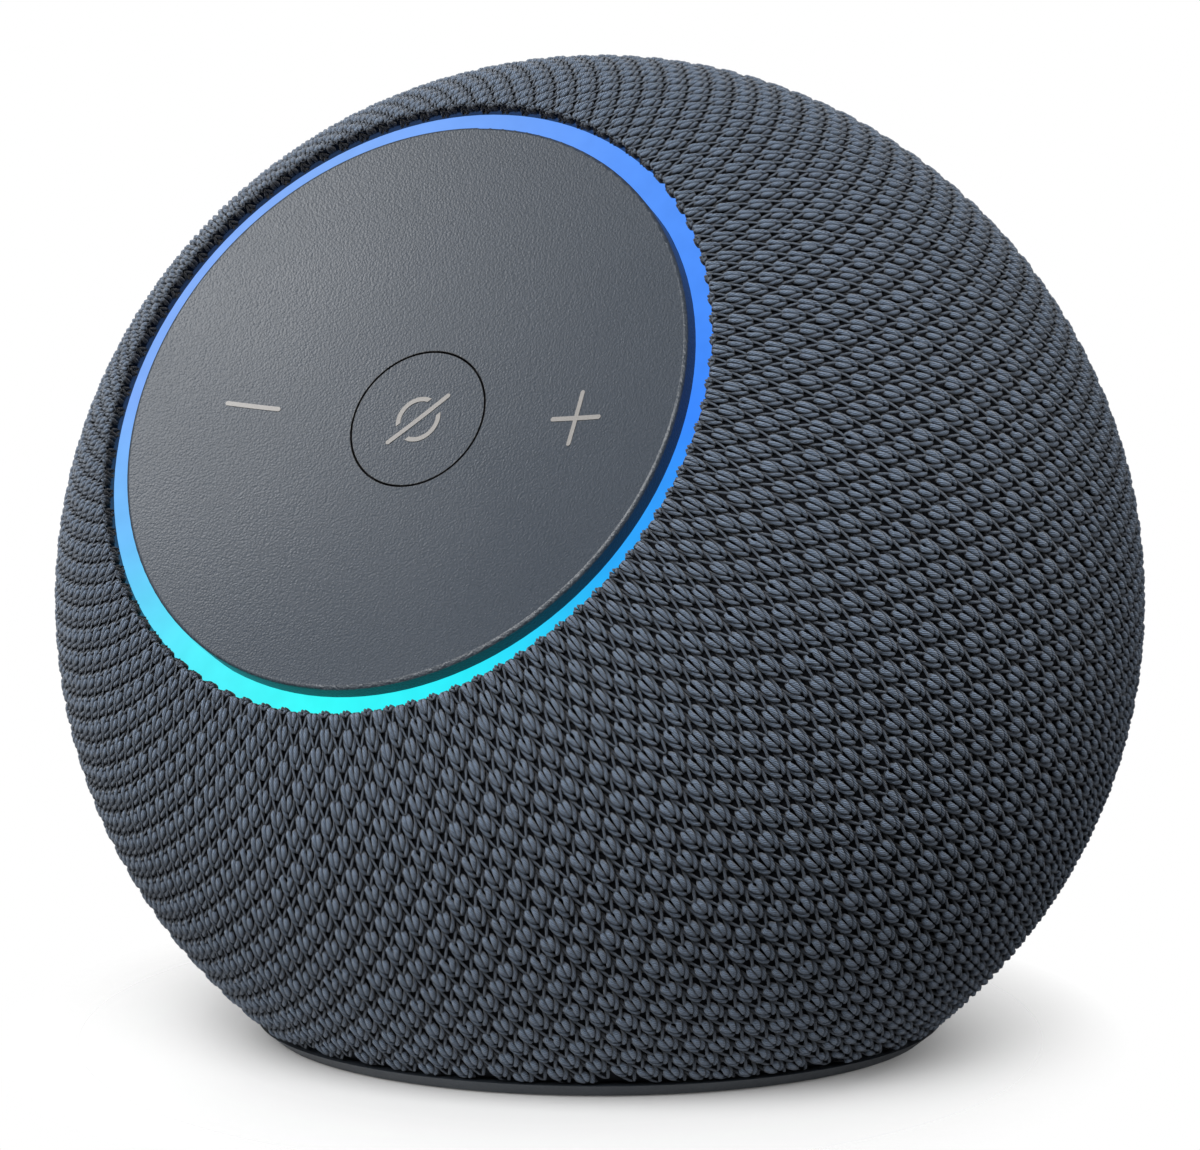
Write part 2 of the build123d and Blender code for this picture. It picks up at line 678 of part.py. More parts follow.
def speaker_leads():
    """Two wires to the woofer and two to the tweeter."""
    x, y = WOOFER_LEAD
    top = MAIN_TOP_Z + GAP
    drop = Pos(x, y, 0) * drum(LEAD_R, top + 2.25, TERMINAL_Z - GAP)
    tweeter = [(-33.4, 19.75), (-29.6, 17.5), (-28.2, top + 2.0)]
    woofer_pair = [Pos(-1, 0, 0) * drop, Pos(1, 0, 0) * drop]
    return group(woofer_pair + [wire(tweeter, -1.0), wire(tweeter, 1.0)])


def woofer_terminal():
    """The tag block on the side of the basket, which the woofer's leads come up to."""
    x, y = WOOFER_LEAD
    tag = block((x - 2.8, x + 2.8), (y - 2.0, y + 1.8), (TERMINAL_Z, TERMINAL_Z + 2.3))
    return tag - on_face(drum(24.15, -10, 30))


def lead_grommet():
    """A rubber plug that seals the woofer's leads into the chamber's floor."""
    x, y = WOOFER_LEAD
    low, high = CHAMBER_FLOOR_Z, CHAMBER_FLOOR_Z + CHAMBER_T
    plug = drum(2.5, low - 0.6, high + 0.6)
    plug = plug + drum(3.2, low - 0.6, low - GAP) + drum(3.2, high + GAP, high + 0.6)
    plug = Pos(x, y, 0) * plug
    for side in (-1, 1):
        plug = plug - Pos(x + side, y, 0) * drum(LEAD_R + 0.05, 10, 30)
    return plug


on_the_face = {
    "control_panel": control_panel,
    "minus_icon": minus_icon,
    "plus_icon": plus_icon,
    "mute_button": mute_button,
    "mute_icon": mute_icon,
    "light_ring": light_ring,
    "led_reflector": led_reflector,
    "leds": leds,
    "face_board": face_board,
    "panel_carrier": panel_carrier,
    "keypad_mat": keypad_mat,
    "microphones": microphones,
    "face_frame": face_frame,
    "knit_retainer": knit_retainer,
    "face_screws": face_screws,
    "shell_screws": shell_screws,
    "baffle": baffle,
    "woofer_gasket": woofer_gasket,
    "woofer_basket": woofer_basket,
    "woofer_magnet": woofer_magnet,
    "woofer_yoke": woofer_yoke,
    "voice_coil": voice_coil,
    "woofer_cone": woofer_cone,
    "dust_cap": dust_cap,
    "woofer_surround": woofer_surround,
    "woofer_spider": woofer_spider,
    "woofer_screws": woofer_screws,
    "tweeter_housing": tweeter_housing,
    "tweeter_magnet": tweeter_magnet,
    "tweeter_dome": tweeter_dome,
}
in_the_ball = {
    "knit_cover": knit_cover,
    "front_shell": front_shell,
    "rear_shell": rear_shell,
    "base_plate": base_plate,
    "rubber_sole": rubber_sole,
    "base_screws": base_screws,
    "main_board": main_board,
    "board_screws": board_screws,
    "shield_can": shield_can,
    "processor": processor,
    "thermal_pad": thermal_pad,
    "heat_spreader": heat_spreader,
    "capacitors": capacitors,
    "inductors": inductors,
    "chips": chips,
    "board_connectors": board_connectors,
    "inlet_shell": inlet_shell,
    "inlet_tongue": inlet_tongue,
    "rear_bezel": rear_bezel,
    "antennas": antennas,
    "speaker_chamber": speaker_chamber,
    "woofer_terminal": woofer_terminal,
    "ribbon_cable": ribbon_cable,
    "speaker_leads": speaker_leads,
    "lead_grommet": lead_grommet,
}
for name, make in on_the_face.items():
    save(name, on_face(make()))
for name, make in in_the_ball.items():
    save(name, make())
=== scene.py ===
import json
import math

import bmesh
import bpy
import numpy as np
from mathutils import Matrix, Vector

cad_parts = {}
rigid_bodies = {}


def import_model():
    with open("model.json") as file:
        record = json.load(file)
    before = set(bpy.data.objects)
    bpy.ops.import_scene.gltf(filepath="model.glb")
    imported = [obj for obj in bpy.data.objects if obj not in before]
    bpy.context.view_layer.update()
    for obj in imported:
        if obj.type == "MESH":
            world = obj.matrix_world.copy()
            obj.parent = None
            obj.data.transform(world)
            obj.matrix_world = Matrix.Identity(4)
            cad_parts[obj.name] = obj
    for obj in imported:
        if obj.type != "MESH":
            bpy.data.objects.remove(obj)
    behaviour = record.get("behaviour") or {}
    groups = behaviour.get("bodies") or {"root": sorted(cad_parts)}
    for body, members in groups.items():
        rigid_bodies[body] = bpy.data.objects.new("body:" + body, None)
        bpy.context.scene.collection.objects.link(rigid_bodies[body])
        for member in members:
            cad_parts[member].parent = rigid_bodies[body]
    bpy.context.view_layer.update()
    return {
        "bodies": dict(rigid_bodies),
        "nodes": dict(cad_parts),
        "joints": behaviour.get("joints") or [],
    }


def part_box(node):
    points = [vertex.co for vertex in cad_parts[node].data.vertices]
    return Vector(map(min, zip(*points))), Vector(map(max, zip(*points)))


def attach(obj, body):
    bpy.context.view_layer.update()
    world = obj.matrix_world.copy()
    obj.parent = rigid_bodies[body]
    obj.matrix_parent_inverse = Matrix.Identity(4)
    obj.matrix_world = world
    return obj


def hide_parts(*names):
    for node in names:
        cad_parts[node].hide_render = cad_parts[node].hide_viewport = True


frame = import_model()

# Lengths are metres. The face frame has its origin at the ball's centre: U runs right across the
# face, V runs up it, and N points out of it. Theta is the angle from N and phi the angle about it.
MM = 0.001
scene = bpy.context.scene
nodes = frame["nodes"]
joints = {joint["name"]: joint for joint in frame["joints"]}

low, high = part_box("knit_cover")
BALL_R = (high.x - low.x) / 2
CENTRE = Vector((0, 0, high.z - BALL_R))
N = -Vector(joints["mute_press"]["axis"]).normalized()
V = Vector(joints["volume_rock"]["axis"]).normalized()
U = V.cross(N)

# The knit: stitches stand in columns that run away from the face, alternate rows half a column
# aside
COLUMNS = 90
ROW_STEP = math.radians(1.8)
COLUMN_STEP = 2 * math.pi / COLUMNS
COLUMN_SHIFT = -0.19
OPENING_R = 31.1 * MM  # the opening round the light ring
SPARSE_THETA = math.radians(150)  # from here to the rear bezel every second column is dropped
END_THETA = math.pi - math.asin(14.0 * MM / BALL_R)
KNIT_RISE = 0.85 * MM  # from the backing to the tops of the stitches
GROUND_R = BALL_R - KNIT_RISE
SHADE_DARKEST_R = GROUND_R + 0.2 * MM  # painted shade: the yarn's colour is darkest this far down between the stitches
SHADE_FREE_R = BALL_R - 0.08 * MM  # and the painted shade ends from here out
CLOTH_THICK = 0.06 * MM
ROLL_R = 0.5 * MM  # the knit's edge rolls inwards round this radius, to a lip beside the light ring
ROLL_OUT = OPENING_R + ROLL_R
ROLL_THETA = math.asin(ROLL_OUT / (BALL_R - ROLL_R))
ROLL_UP = (BALL_R - ROLL_R) * math.cos(ROLL_THETA)
LIP_DROP = 1.1 * MM
LIP_THETA = ROLL_THETA - (ROLL_R * (math.pi / 2 + ROLL_THETA) + LIP_DROP) / BALL_R
ROLLED_ROWS = 2.3  # how many rows start on the rolled edge
SPARED_ROWS = 1.5  # and how many are left out at the rear bezel, where stitches would overlap it
SEAM_R = 6.98 * MM  # the middle of the seam round the button
# the painted shade along the seam: its half width, and how far it takes to fade out
SEAM_SHADE_HALF = 0.11 * MM
SEAM_SHADE_FADE = 0.04 * MM
FOOT_Z = low.z  # the knit ends level here
SECTORS = 10
JITTER = 0.012  # how far a stitch strays, in column widths and stitch lengths
SEED = 7

# The camera looks at the ball's centre from this direction, in degrees, and distance
CAMERA_TURN = 29.36
CAMERA_RISE = 6.15
CAMERA_AWAY = 0.4294
CAMERA_SENSOR = 36  # this and the lens in mm
CAMERA_LENS = 128.4
CAMERA_SHIFT = 0.0208

# The floor has faded out at these distances to the sides and towards the camera
FLOOR_ACROSS = 0.057
FLOOR_ALONG = 0.072
FLOOR_FADE = 0.62  # the share of those distances at which it starts to fade
FLOOR_SOLID = 0.92
FLOOR_SHIFT = 0.004  # to the camera's left


# --- small helpers ---
def remove_defaults():
    """Clears the start-up cube, lamp and camera."""
    kept = set(nodes.values()) | set(frame["bodies"].values())
    for thing in list(bpy.data.objects):
        if thing not in kept:
            bpy.data.objects.remove(thing)


def add_object(name, mesh, body="housing"):
    thing = bpy.data.objects.new(name, mesh)
    scene.collection.objects.link(thing)
    if body:
        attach(thing, body)
    return thing


def triangle_mesh(name, points, triangles, corners_uv):
    """A smooth mesh from arrays of points, triangles and one (u, v) for each triangle corner."""
    mesh = bpy.data.meshes.new(name)
    mesh.vertices.add(len(points))
    mesh.vertices.foreach_set("co", points.astype(np.float32).ravel())
    mesh.loops.add(triangles.size)
    mesh.loops.foreach_set("vertex_index", triangles.astype(np.int32).ravel())
    mesh.polygons.add(len(triangles))
    mesh.polygons.foreach_set("loop_start", np.arange(0, triangles.size, 3, dtype=np.int32))
    mesh.update(calc_edges=True)
    mesh.polygons.foreach_set("use_smooth", np.ones(len(triangles), dtype=bool))
    yarn = mesh.uv_layers.new(name="Yarn")
    yarn.data.foreach_set("uv", corners_uv.astype(np.float32).ravel())
    mesh.update()
    return mesh


# --- materials ---
def srgb(red, green, blue):
    """A colour given in 0 to 255 screen values, as the linear values that shaders use."""
    def linear(value):
        value = value / 255
        return value / 12.92 if value <= 0.04045 else ((value + 0.055) / 1.055) ** 2.4
    return (linear(red), linear(green), linear(blue), 1)


class Shader:
    """A new Principled material and short ways to add nodes to it."""

    def __init__(self, name):
        self.material = bpy.data.materials.new(name)
        self.material.use_nodes = True
        self.tree = self.material.node_tree
        self.surface = self.tree.nodes["Principled BSDF"]

    def add(self, kind, values=None, **settings):
        node = self.tree.nodes.new(kind)
        for key, value in settings.items():
            setattr(node, key, value)
        for key, value in (values or {}).items():
            if isinstance(value, bpy.types.NodeSocket):
                self.tree.links.new(value, node.inputs[key])
            else:
                node.inputs[key].default_value = value
        return node

    def set(self, **values):
        for key, value in values.items():
            name = key.replace("_", " ")
            if isinstance(value, bpy.types.NodeSocket):
                self.tree.links.new(value, self.surface.inputs[name])
            else:
                self.surface.inputs[name].default_value = value

    def place(self):
        return self.add("ShaderNodeTexCoord").outputs["Object"]

    def vector(self, operation, *vectors):
        """A Vector Math node. Its vectors may be sockets or plain values."""
        return self.add("ShaderNodeVectorMath", dict(enumerate(vectors)), operation=operation)

    def math(self, operation, first, second=0.0):
        values = {0: first, 1: second}
        return self.add("ShaderNodeMath", values, operation=operation).outputs[0]

    def noise(self, vector, per_mm, detail=2.0, roughness=0.5):
        values = {"Vector": vector, "Scale": per_mm / MM, "Detail": detail, "Roughness": roughness}
        return self.add("ShaderNodeTexNoise", values).outputs["Fac"]

    def between(self, factor, low_in, high_in, low_out, high_out):
        values = {"Value": factor, 1: low_in, 2: high_in, 3: low_out, 4: high_out}
        return self.add("ShaderNodeMapRange", values).outputs[0]

    def mixed(self, factor, first, second):
        node = self.add("ShaderNodeMix", data_type="RGBA")
        for index, value in ((0, factor), (6, first), (7, second)):
            if isinstance(value, bpy.types.NodeSocket):
                self.tree.links.new(value, node.inputs[index])
            else:
                node.inputs[index].default_value = value
        return node.outputs[2]

    def bump(self, height, depth_mm, strength=1.0, under=None):
        values = {"Height": height, "Distance": depth_mm * MM, "Strength": strength}
        if under is not None:
            values["Normal"] = under
        return self.add("ShaderNodeBump", values).outputs["Normal"]


def grained(name, dark, light, roughness, grain_per_mm, grain_mm, metallic=0.0, specular=0.5):
    """Moulded or cast stuff: two near tones in soft patches, a fine surface grain."""
    s = Shader(name)
    place = s.place()
    patches = s.noise(place, 0.12, 3.0)
    grain = s.noise(place, grain_per_mm, 3.0, 0.6)
    s.set(Base_Color=s.mixed(s.between(patches, 0.35, 0.65, 0, 1), dark, light))
    s.set(Roughness=s.between(grain, 0.3, 0.7, roughness - 0.05, roughness + 0.05))
    s.set(Normal=s.bump(grain, grain_mm))
    s.set(Metallic=metallic, Specular_IOR_Level=specular)
    return s.material


def brushed(name, dark, light, roughness):
    """Turned or drawn metal: fine level streaks."""
    s = Shader(name)
    place = s.place()
    streaks = s.add("ShaderNodeMapping", {"Vector": place, "Scale": (1, 1, 9)}).outputs[0]
    lines = s.noise(streaks, 1.4, 4.0, 0.7)
    s.set(Base_Color=s.mixed(s.between(lines, 0.35, 0.65, 0, 1), dark, light))
    s.set(Roughness=s.between(lines, 0.3, 0.7, roughness - 0.08, roughness + 0.08))
    s.set(Normal=s.bump(lines, 0.01), Metallic=1.0)
    return s.material


def woven(name, dark, light, roughness, thread_per_mm):
    """Paper, cloth and felt inside the loudspeaker: crossed threads and soft mottling."""
    s = Shader(name)
    place = s.place()
    scale = thread_per_mm / MM
    across = s.add("ShaderNodeTexWave", {"Vector": place, "Scale": scale / 20, "Distortion": 1.5})
    up = s.add(
        "ShaderNodeTexWave",
        {"Vector": place, "Scale": scale / 20, "Distortion": 1.5},
        bands_direction="Z",
    )
    weave = s.math("MULTIPLY", across.outputs["Fac"], up.outputs["Fac"])
    mottle = s.noise(place, 0.8, 3.0)
    tone = s.math("ADD", s.math("MULTIPLY", weave, 0.5), s.math("MULTIPLY", mottle, 0.5))
    s.set(Base_Color=s.mixed(tone, dark, light), Roughness=roughness)
    s.set(Normal=s.bump(tone, 0.05))
    return s.material


def circuit_board():
    """Green-black solder mask over faint copper tracks."""
    s = Shader("circuit_board")
    place = s.place()
    values = {"Vector": place, "Scale": 350.0, "Randomness": 0.6}
    tracks = s.add("ShaderNodeTexVoronoi", values, distance="MANHATTAN", feature="F1")
    lines = s.between(tracks.outputs["Distance"], 0.42, 0.48, 0, 1)
    s.set(Base_Color=s.mixed(lines, srgb(14, 44, 34), srgb(32, 84, 58)), Roughness=0.38)
    s.set(Normal=s.bump(lines, 0.03))
    return s.material


def panel_plastic():
    """The face's dark grey plastic: a fine pebbled grain, rubbed spots a little smoother, and
    painted shade that makes a black line of the seam round the middle button."""
    s = Shader("panel_plastic")
    place = s.place()
    pebbles = s.add("ShaderNodeTexVoronoi", {"Vector": place, "Scale": 4.2 / MM}, feature="F1")
    fine = s.noise(place, 5.6, 1.0, 0.5)
    wear = s.noise(place, 0.06, 3.0)
    # Painted shade: a near-black line in the colour along the seam round the middle button
    out = s.vector("SUBTRACT", place, tuple(CENTRE)).outputs["Vector"]
    aside = s.vector("CROSS_PRODUCT", out, tuple(N)).outputs["Vector"]
    radius = s.vector("LENGTH", aside).outputs["Value"]
    off_seam = s.math("ABSOLUTE", s.math("SUBTRACT", radius, SEAM_R))
    seam_unshaded = s.between(off_seam, SEAM_SHADE_HALF, SEAM_SHADE_HALF + SEAM_SHADE_FADE, 0, 1)
    plastic = s.mixed(s.between(fine, 0.3, 0.7, 0, 1), srgb(35, 41, 48), srgb(43, 49, 57))
    s.set(Base_Color=s.mixed(seam_unshaded, srgb(5, 6, 8), plastic))
    s.set(Roughness=s.between(wear, 0.35, 0.65, 0.46, 0.52))
    pebbled = s.bump(pebbles.outputs["Distance"], 0.036, 1.0)
    s.set(Normal=s.bump(fine, 0.032, 1.0, pebbled))
    return s.material


def icon_plastic():
    """The icons' pale grey plastic, set into the panel."""
    s = Shader("icon_plastic")
    fine = s.noise(s.place(), 6.0, 3.0, 0.6)
    s.set(Base_Color=s.mixed(fine, srgb(102, 100, 98), srgb(117, 115, 113)), Roughness=0.45)
    s.set(Normal=s.bump(fine, 0.01))
    return s.material


def glow():
    """The lit diffuser: blue at the top and sides, cyan at the bottom, in soft steps by angle."""
    s = Shader("diffuser")
    place = s.place()
    out = s.vector("SUBTRACT", place, tuple(CENTRE)).outputs["Vector"]
    right = s.vector("DOT_PRODUCT", out, tuple(U)).outputs["Value"]
    up = s.vector("DOT_PRODUCT", out, tuple(V)).outputs["Value"]
    angle = s.math("ARCTAN2", up, right)
    turn = s.math("FRACT", s.math("DIVIDE", angle, 2 * math.pi))
    ramp = s.add("ShaderNodeValToRGB", {0: turn})
    colours = (
        (56, 135, 253),
        (77, 145, 253),
        (92, 153, 253),
        (116, 167, 253),
        (130, 176, 250),
        (133, 176, 251),
        (130, 176, 252),
        (111, 192, 252),
        (84, 240, 253),
        (56, 253, 252),
        (42, 235, 252),
        (40, 171, 252),
    )
    stops = ramp.color_ramp.elements
    while len(stops) < len(colours) + 1:
        stops.new(0.5)
    for index, stop in enumerate(stops):
        stop.position = index / len(colours)
        stop.color = srgb(*colours[index % len(colours)])
    cloudy = s.noise(place, 0.4, 2.0)
    s.set(Base_Color=(0.002, 0.002, 0.002, 1), Roughness=0.6, Specular_IOR_Level=0.0)
    s.set(Emission_Color=ramp.outputs[0], Emission_Strength=s.between(cloudy, 0.3, 0.7, 0.96, 1.04))
    return s.material


def yarn():
    """Matt polyester yarn: fibres twist round each strand, and strands differ a little in tone."""
    s = Shader("knit")
    place = s.place()
    lay = s.add("ShaderNodeUVMap", uv_map="Yarn").outputs["UV"]
    twisted = s.add(
        "ShaderNodeTexWave",
        {"Vector": lay, "Scale": 5.0, "Distortion": 2.2, "Detail": 2.0, "Detail Scale": 2.0},
        bands_direction="DIAGONAL",
    ).outputs["Fac"]
    fuzz = s.noise(place, 5.5, 3.0, 0.7)
    patch = s.noise(place, 0.35, 2.0)
    tone = s.math("ADD", s.math("MULTIPLY", twisted, 0.5), s.math("MULTIPLY", fuzz, 0.3))
    tone = s.math("ADD", tone, s.math("MULTIPLY", patch, 0.2))
    shown = s.mixed(s.between(tone, 0.32, 0.68, 0, 1), srgb(59, 69, 82), srgb(101, 115, 134))
    # Painted shade: the yarn's colour darkens towards the backing, to near black deep between the
    # stitches
    out = s.vector("DISTANCE", place, tuple(CENTRE)).outputs["Value"]
    painted_depth_shade = s.between(out, SHADE_DARKEST_R, SHADE_FREE_R, 1, 0)
    s.set(Base_Color=s.mixed(painted_depth_shade, shown, srgb(11, 14, 20)))
    s.set(Roughness=0.8, Sheen_Weight=0.15, Sheen_Roughness=0.5, Specular_IOR_Level=0.2)
    fibres = s.bump(twisted, 0.055, 1.0)
    s.set(Normal=s.bump(fuzz, 0.03, 0.8, fibres))
    return s.material


def backing_cloth():
    """The dark inner layer of the knit, seen only in the gaps between stitches."""
    s = Shader("knit_backing")
    threads = s.noise(s.place(), 2.5, 3.0, 0.7)
    s.set(Base_Color=s.mixed(threads, srgb(8, 9, 11), srgb(26, 28, 33)), Roughness=0.95)
    s.set(Normal=s.bump(threads, 0.12), Specular_IOR_Level=0.1)
    return s.material


def finishes():
    """One finished material for each of the record's material slots."""
    def near(red, green, blue, spread=5):
        low_tone = srgb(red - spread, green - spread, blue - spread)
        return low_tone, srgb(red + spread, green + spread, blue + spread)

    return {
        "panel_plastic": panel_plastic(),
        "icon_plastic": icon_plastic(),
        "diffuser": glow(),
        "circuit_board": circuit_board(),
        "dark_plastic": grained("dark_plastic", *near(47, 53, 60, 3), 0.5, 3.0, 0.02),
        "sole_rubber": grained("sole_rubber", *near(30, 31, 34, 3), 0.75, 2.0, 0.04),
        "shell_plastic": grained("shell_plastic", *near(26, 27, 30, 3), 0.55, 2.5, 0.02),
        "black_plastic": grained("black_plastic", *near(28, 28, 30, 3), 0.5, 2.5, 0.02),
        "white_plastic": grained("white_plastic", *near(222, 222, 218, 6), 0.45, 2.5, 0.01),
        "led_white": grained("led_white", *near(240, 236, 200, 8), 0.3, 4.0, 0.01),
        "silicone": grained("silicone", *near(150, 154, 158, 6), 0.6, 2.0, 0.02),
        "foam_rubber": grained("foam_rubber", *near(36, 36, 38, 4), 0.85, 1.6, 0.08),
        "chip_black": grained("chip_black", *near(32, 33, 36, 4), 0.5, 5.0, 0.01),
        "lead_black": grained("lead_black", *near(24, 24, 26, 4), 0.5, 3.0, 0.01),
        "ferrite": grained("ferrite", *near(52, 52, 54, 5), 0.6, 1.8, 0.04),
        "steel": brushed("steel", *near(165, 167, 170, 10), 0.35),
        "screw_steel": brushed("screw_steel", *near(120, 122, 126, 10), 0.35),
        "basket_steel": brushed("basket_steel", *near(70, 72, 76, 8), 0.45),
        "aluminium": brushed("aluminium", *near(190, 192, 194, 10), 0.4),
        "capacitor_can": brushed("capacitor_can", *near(180, 182, 186, 8), 0.3),
        "copper": brushed("copper", srgb(172, 96, 56), srgb(200, 120, 76), 0.35),
        "cone_paper": woven("cone_paper", *near(44, 44, 46, 6), 0.85, 3.0),
        "spider_cloth": woven("spider_cloth", *near(150, 120, 70, 12), 0.9, 4.0),
        "knit": backing_cloth(),
    }


def paint_cad_nodes():
    """Puts the finished material in each slot of each CAD node."""
    made = finishes()
    for node in nodes.values():
        for place in node.material_slots:
            place.material = made[place.material.name.split(".")[0]]


# --- the knit ---
SIDES = (-90, -20, 35, 90, 145, 200)  # where a strand's corners stand round its section, in degrees
THIN_SIDES = (-90, 30, 150)


def strand(rings, sides):
    """A closed strand of yarn. Each ring is (across, along, height, half width, half height), with
    zero widths at its two ends. Across and half width are in column widths, along is in stitch
    lengths, and the heights are in mm."""
    points = []
    uv = []
    for j, (across, along, height, half_width, half_height) in enumerate(rings):
        tip = j in (0, len(rings) - 1)
        for i, side in enumerate((90,) if tip else sides):
            angle = math.radians(side)
            x = across + half_width * math.cos(angle)
            points.append((x, along, height + half_height * math.sin(angle)))
            uv.append((i / len(sides), j / len(rings)))
    count = len(sides)
    last = len(points) - 1
    triangles = []
    for i in range(count):
        k = (i + 1) % count
        triangles.append((0, 1 + i, 1 + k))
        triangles.append((last, last - count + k, last - count + i))
        for j in range(len(rings) - 3):
            a, b = 1 + j * count + i, 1 + j * count + k
            triangles.append((a, a + count, b))
            triangles.append((b, a + count, b + count))
    return np.array(points), np.array(triangles), np.array(uv)


def stitch(opening=0.0, eye=0.0, lean=0.0):
    """One stitch from its top, at (0, 0), down: two plump lobes with a slit between them, two lobes
    that close in a V below, two thin strands on to the next stitch, and two low ones beside them.
    Opening widens the slit, eye makes a round hole near its top, and lean draws it to one side."""
    parts = []
    for side in (-1, 1):
        plump = [
            (0.060, 0.000, 0.22, 0.000, 0.00),
            (0.078, 0.040, 0.38, 0.062, 0.24),
            (0.100 + eye, 0.140, 0.52, 0.087, 0.30),
            (0.100, 0.260, 0.54, 0.091, 0.30),
            (0.077, 0.380, 0.52, 0.074, 0.28),
            (0.046, 0.490, 0.46, 0.048, 0.22),
            (0.018, 0.590, 0.30, 0.000, 0.00),
        ]
        plump = [(x + opening * (1 - y), y, h, a, b) for x, y, h, a, b in plump]
        flank = [
            (0.285, -0.080, 0.00, 0.000, 0.00),
            (0.268, 0.100, 0.14, 0.050, 0.16),
            (0.238, 0.280, 0.20, 0.056, 0.20),
            (0.190, 0.430, 0.34, 0.078, 0.27),
            (0.132, 0.570, 0.42, 0.084, 0.28),
            (0.072, 0.690, 0.38, 0.066, 0.24),
            (0.018, 0.790, 0.16, 0.000, 0.00),
        ]
        thin = [
            (0.225, 0.540, 0.05, 0.000, 0.00),
            (0.172, 0.720, 0.32, 0.054, 0.16),
            (0.108, 0.880, 0.44, 0.054, 0.16),
            (0.045, 1.020, 0.52, 0.048, 0.14),
            (0.000, 1.150, 0.46, 0.000, 0.00),
        ]
        deep = [
            (0.430, -0.020, 0.00, 0.000, 0.00),
            (0.385, 0.130, 0.17, 0.060, 0.17),
            (0.345, 0.300, 0.17, 0.060, 0.17),
            (0.290, 0.500, 0.00, 0.000, 0.00),
        ]
        strands = ((plump, SIDES), (flank, SIDES), (thin, THIN_SIDES), (deep, THIN_SIDES))
        for rings, sides in strands:
            leaned = [(side * x + lean * y, y, h, a, b) for x, y, h, a, b in rings]
            parts.append(strand(leaned, sides))
    offsets = np.cumsum([0] + [len(points) for points, _, _ in parts])
    points = np.concatenate([points for points, _, _ in parts])
    triangles = np.concatenate([t + offset for (_, t, _), offset in zip(parts, offsets)])
    uv = np.concatenate([uv for _, _, uv in parts])
    return points, triangles, uv


def stitch_places():
    """(phi, theta, width in columns) of every stitch's top."""
    places = []
    row = 0
    theta = ROLL_THETA - ROLLED_ROWS * ROW_STEP
    while theta < END_THETA - SPARED_ROWS * ROW_STEP:
        step = 2 if theta > SPARSE_THETA else 1
        for column in range(0, COLUMNS, step):
            phi = (column + 0.5 * step * (row % 2) + COLUMN_SHIFT) * COLUMN_STEP
            places.append((phi, theta, step))
        theta += ROW_STEP
        row += 1
    return np.array(places)


def on_knit(phi, theta, height):
    """Points at those face angles and heights above the backing, in the row frame. Short of the
    opening's crest the knit rolls inwards, and then runs straight down beside the light ring."""
    short = np.maximum(ROLL_THETA - theta, 0) * BALL_R
    full_turn = math.pi / 2 + ROLL_THETA
    turn = np.minimum(short / ROLL_R, full_turn)
    drop = np.clip(short - ROLL_R * full_turn, 0, LIP_DROP)
    facing = math.pi / 2 - ROLL_THETA + turn
    reach = np.maximum(ROLL_R + height - KNIT_RISE, 0.05 * MM)
    rolled_out = ROLL_OUT + reach * np.cos(facing)
    rolled_up = ROLL_UP + reach * np.sin(facing) - drop
    radius = GROUND_R + height
    out = np.where(short > 0, rolled_out, radius * np.sin(theta))
    up = np.where(short > 0, rolled_up, radius * np.cos(theta))
    parts = (out * np.cos(phi), out * np.sin(phi), up)
    axes = (np.array(U), np.array(V), np.array(N))
    return np.array(CENTRE) + sum(part[..., None] * axis for part, axis in zip(parts, axes))


def knit_sectors():
    """The stitches, mapped on to the ball and shared between sectors about the face axis."""
    rng = np.random.default_rng(SEED)
    places = stitch_places()
    base, triangles, uv = stitch()
    opened = stitch(opening=0.03)[0] - base
    eyed = stitch(eye=0.045)[0] - base
    leaned = stitch(lean=0.04)[0] - base
    count = len(places)
    amounts = (
        rng.uniform(-0.5, 1.0, count),
        rng.uniform(-0.3, 1.0, count) ** 3,
        rng.normal(0, 0.5, count),
    )
    shapes = np.repeat(base[None], count, axis=0)
    for amount, change in zip(amounts, (opened, eyed, leaned)):
        shapes = shapes + amount[:, None, None] * change
    shapes[:, :, 0] += rng.normal(0, JITTER, count)[:, None]
    shapes[:, :, 1] += rng.normal(0, JITTER, count)[:, None]
    shapes[:, :, 2] *= rng.uniform(0.94, 1.0, count)[:, None]
    phi = places[:, 0, None] + shapes[:, :, 0] * COLUMN_STEP * places[:, 2, None]
    theta = places[:, 1, None] + shapes[:, :, 1] * 2 * ROW_STEP
    points = on_knit(phi, theta, shapes[:, :, 2] * MM)
    middle_z = points[:, :, 2].mean(axis=1)
    kept = middle_z > FOOT_Z + 0.2 * MM
    points[:, :, 2] = np.maximum(points[:, :, 2], FOOT_Z)
    sector = np.floor(places[:, 0] / (2 * math.pi) * SECTORS).astype(int) % SECTORS
    pieces = []
    for number in range(SECTORS):
        mine = points[kept & (sector == number)]
        starts = np.arange(len(mine)) * base.shape[0]
        faces = (triangles[None] + starts[:, None, None]).reshape(-1, 3)
        shift = rng.uniform(0, 1, (len(mine), 1, 2))
        corners = (uv[triangles].reshape(1, -1, 2) + shift).reshape(-1, 2)
        mesh = triangle_mesh(f"knit_stitches_{number + 1}", mine.reshape(-1, 3), faces, corners)
        pieces.append(add_object(mesh.name, mesh))
    return pieces


